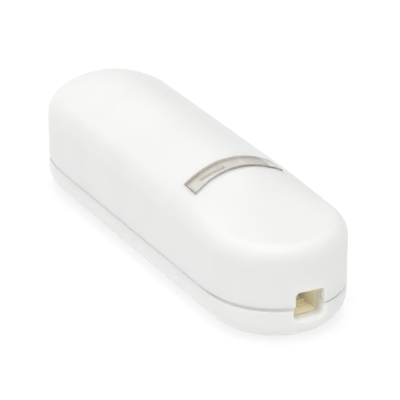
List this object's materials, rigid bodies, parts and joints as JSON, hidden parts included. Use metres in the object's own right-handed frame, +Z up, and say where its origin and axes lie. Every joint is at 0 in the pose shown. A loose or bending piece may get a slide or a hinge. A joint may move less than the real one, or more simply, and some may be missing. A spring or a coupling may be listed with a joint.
{
  "type": "inline cord switch",
  "caption": "Pill-shaped inline touch switch for a lamp cord: two-part housing, finger dish, curved light guide, relay board, screw terminals and clamped cord entries.",
  "frame": {"origin": "middle of the plan, on the flat underside that the switch rests on", "axes": "+X along the body and the cord, towards the end with the finger dish; +Y across; +Z up"},
  "size_m": [0.1, 0.0296, 0.0268],
  "materials": {
    "housing": "smooth satin white moulding",
    "light_guide": "clear smoky moulding",
    "cord_grip": "natural cream nylon",
    "terminal_body": "grey moulding",
    "terminal_metal": "tinned brass",
    "screw": "bright zinc plate",
    "circuit_board": "green laminate with solder mask",
    "relay_case": "dark blue moulding",
    "relay_frame": "black moulding",
    "relay_iron": "nickel-plated iron",
    "copper": "enamelled or bare copper",
    "touch_spring": "plated spring wire",
    "film_capacitor": "yellow boxed film capacitor",
    "electrolytic_capacitor": "dark sleeve over an aluminium can",
    "varistor": "blue epoxy coating",
    "fuse": "dark brown moulding",
    "black_package": "black moulding compound",
    "resistor": "tan lacquer",
    "indicator_led": "white package"
  },
  "bodies": {
    "base": {"base_shell": "housing", "bridge_rectifier": "black_package", "circuit_board": "circuit_board", "control_chip": "black_package", "cord_saddle_far": "cord_grip", "cord_saddle_near": "cord_grip", "dropper_resistor": "resistor", "filter_capacitor": "film_capacitor", "fuse": "fuse", "housing_screw_far_left": "screw", "housing_screw_far_right": "screw", "housing_screw_near_left": "screw", "housing_screw_near_right": "screw", "indicator_led": "indicator_led", "relay_base": "relay_frame", "relay_bobbin": "relay_frame", "relay_case": "relay_case", "relay_coil": "copper", "relay_core": "relay_iron", "relay_fixed_contact": "copper", "relay_yoke": "relay_iron", "smoothing_capacitor": "electrolytic_capacitor", "terminal_block_far": "terminal_body", "terminal_block_near": "terminal_body", "terminal_contact_far_left": "terminal_metal", "terminal_contact_far_right": "terminal_metal", "terminal_contact_near_left": "terminal_metal", "terminal_contact_near_right": "terminal_metal", "touch_spring": "touch_spring", "varistor": "varistor"},
    "cover": {"upper_shell": "housing", "light_guide": "light_guide", "touch_electrode": "copper"},
    "relay_armature": {"relay_armature": "relay_iron", "relay_moving_contact": "copper"},
    "cord_grip_near": {"cord_grip_near": "cord_grip"},
    "cord_grip_screw_near_left": {"cord_grip_screw_near_left": "screw"},
    "terminal_cage_near_left": {"terminal_cage_near_left": "terminal_metal"},
    "terminal_screw_near_left": {"terminal_screw_near_left": "screw"},
    "cord_grip_screw_near_right": {"cord_grip_screw_near_right": "screw"},
    "terminal_cage_near_right": {"terminal_cage_near_right": "terminal_metal"},
    "terminal_screw_near_right": {"terminal_screw_near_right": "screw"},
    "cord_grip_far": {"cord_grip_far": "cord_grip"},
    "cord_grip_screw_far_left": {"cord_grip_screw_far_left": "screw"},
    "terminal_cage_far_left": {"terminal_cage_far_left": "terminal_metal"},
    "terminal_screw_far_left": {"terminal_screw_far_left": "screw"},
    "cord_grip_screw_far_right": {"cord_grip_screw_far_right": "screw"},
    "terminal_cage_far_right": {"terminal_cage_far_right": "terminal_metal"},
    "terminal_screw_far_right": {"terminal_screw_far_right": "screw"}
  },
  "joints": [
    {"name": "cover_lift", "type": "slide", "parent": "base", "child": "cover", "axis": [0, 0, 1], "range_m": [0, 0.03]},
    {"name": "relay_armature_pivot", "type": "hinge", "parent": "base", "child": "relay_armature", "pos_m": [-0.007, -0.0055, 0.0159], "axis": [0, 1, 0], "range_deg": [0, 6.8], "stiffness_Nm_per_rad": 0.01, "springref_deg": -5.73},
    {"name": "terminal_screw_near_left_turn", "type": "hinge", "parent": "base", "child": "terminal_screw_near_left", "pos_m": [0.0267, 0.00255, 0.0157], "axis": [0, 0, -1], "range_deg": [0, 1080]},
    {"name": "terminal_cage_near_left_rise", "type": "slide", "parent": "base", "child": "terminal_cage_near_left", "axis": [0, 0, 1], "range_m": [0, 0.0015]},
    {"name": "terminal_screw_near_right_turn", "type": "hinge", "parent": "base", "child": "terminal_screw_near_right", "pos_m": [0.0267, -0.00255, 0.0157], "axis": [0, 0, -1], "range_deg": [0, 1080]},
    {"name": "terminal_cage_near_right_rise", "type": "slide", "parent": "base", "child": "terminal_cage_near_right", "axis": [0, 0, 1], "range_m": [0, 0.0015]},
    {"name": "cord_grip_near_clamp", "type": "slide", "parent": "base", "child": "cord_grip_near", "axis": [0, 0, -1], "range_m": [0, 0.0021]},
    {"name": "cord_grip_screw_near_left_turn", "type": "hinge", "parent": "cord_grip_near", "child": "cord_grip_screw_near_left", "pos_m": [0.0415, 0.0062, 0.0164], "axis": [0, 0, -1], "range_deg": [0, 1080]},
    {"name": "cord_grip_screw_near_right_turn", "type": "hinge", "parent": "cord_grip_near", "child": "cord_grip_screw_near_right", "pos_m": [0.0415, -0.0062, 0.0164], "axis": [0, 0, -1], "range_deg": [0, 1080]},
    {"name": "terminal_screw_far_left_turn", "type": "hinge", "parent": "base", "child": "terminal_screw_far_left", "pos_m": [-0.0267, 0.00255, 0.0157], "axis": [0, 0, -1], "range_deg": [0, 1080]},
    {"name": "terminal_cage_far_left_rise", "type": "slide", "parent": "base", "child": "terminal_cage_far_left", "axis": [0, 0, 1], "range_m": [0, 0.0015]},
    {"name": "terminal_screw_far_right_turn", "type": "hinge", "parent": "base", "child": "terminal_screw_far_right", "pos_m": [-0.0267, -0.00255, 0.0157], "axis": [0, 0, -1], "range_deg": [0, 1080]},
    {"name": "terminal_cage_far_right_rise", "type": "slide", "parent": "base", "child": "terminal_cage_far_right", "axis": [0, 0, 1], "range_m": [0, 0.0015]},
    {"name": "cord_grip_far_clamp", "type": "slide", "parent": "base", "child": "cord_grip_far", "axis": [0, 0, -1], "range_m": [0, 0.0021]},
    {"name": "cord_grip_screw_far_left_turn", "type": "hinge", "parent": "cord_grip_far", "child": "cord_grip_screw_far_left", "pos_m": [-0.0415, 0.0062, 0.0164], "axis": [0, 0, -1], "range_deg": [0, 1080]},
    {"name": "cord_grip_screw_far_right_turn", "type": "hinge", "parent": "cord_grip_far", "child": "cord_grip_screw_far_right", "pos_m": [-0.0415, -0.0062, 0.0164], "axis": [0, 0, -1], "range_deg": [0, 1080]}
  ],
  "couplings": [
    {"joint": "terminal_screw_near_left_turn", "follows": "terminal_cage_near_left_rise", "rad_per_m": 12566},
    {"joint": "terminal_screw_near_right_turn", "follows": "terminal_cage_near_right_rise", "rad_per_m": 12566},
    {"joint": "cord_grip_screw_near_left_turn", "follows": "cord_grip_near_clamp", "rad_per_m": 8976},
    {"joint": "cord_grip_screw_near_right_turn", "follows": "cord_grip_near_clamp", "rad_per_m": 8976},
    {"joint": "terminal_screw_far_left_turn", "follows": "terminal_cage_far_left_rise", "rad_per_m": 12566},
    {"joint": "terminal_screw_far_right_turn", "follows": "terminal_cage_far_right_rise", "rad_per_m": 12566},
    {"joint": "cord_grip_screw_far_left_turn", "follows": "cord_grip_far_clamp", "rad_per_m": 8976},
    {"joint": "cord_grip_screw_far_right_turn", "follows": "cord_grip_far_clamp", "rad_per_m": 8976}
  ]
}
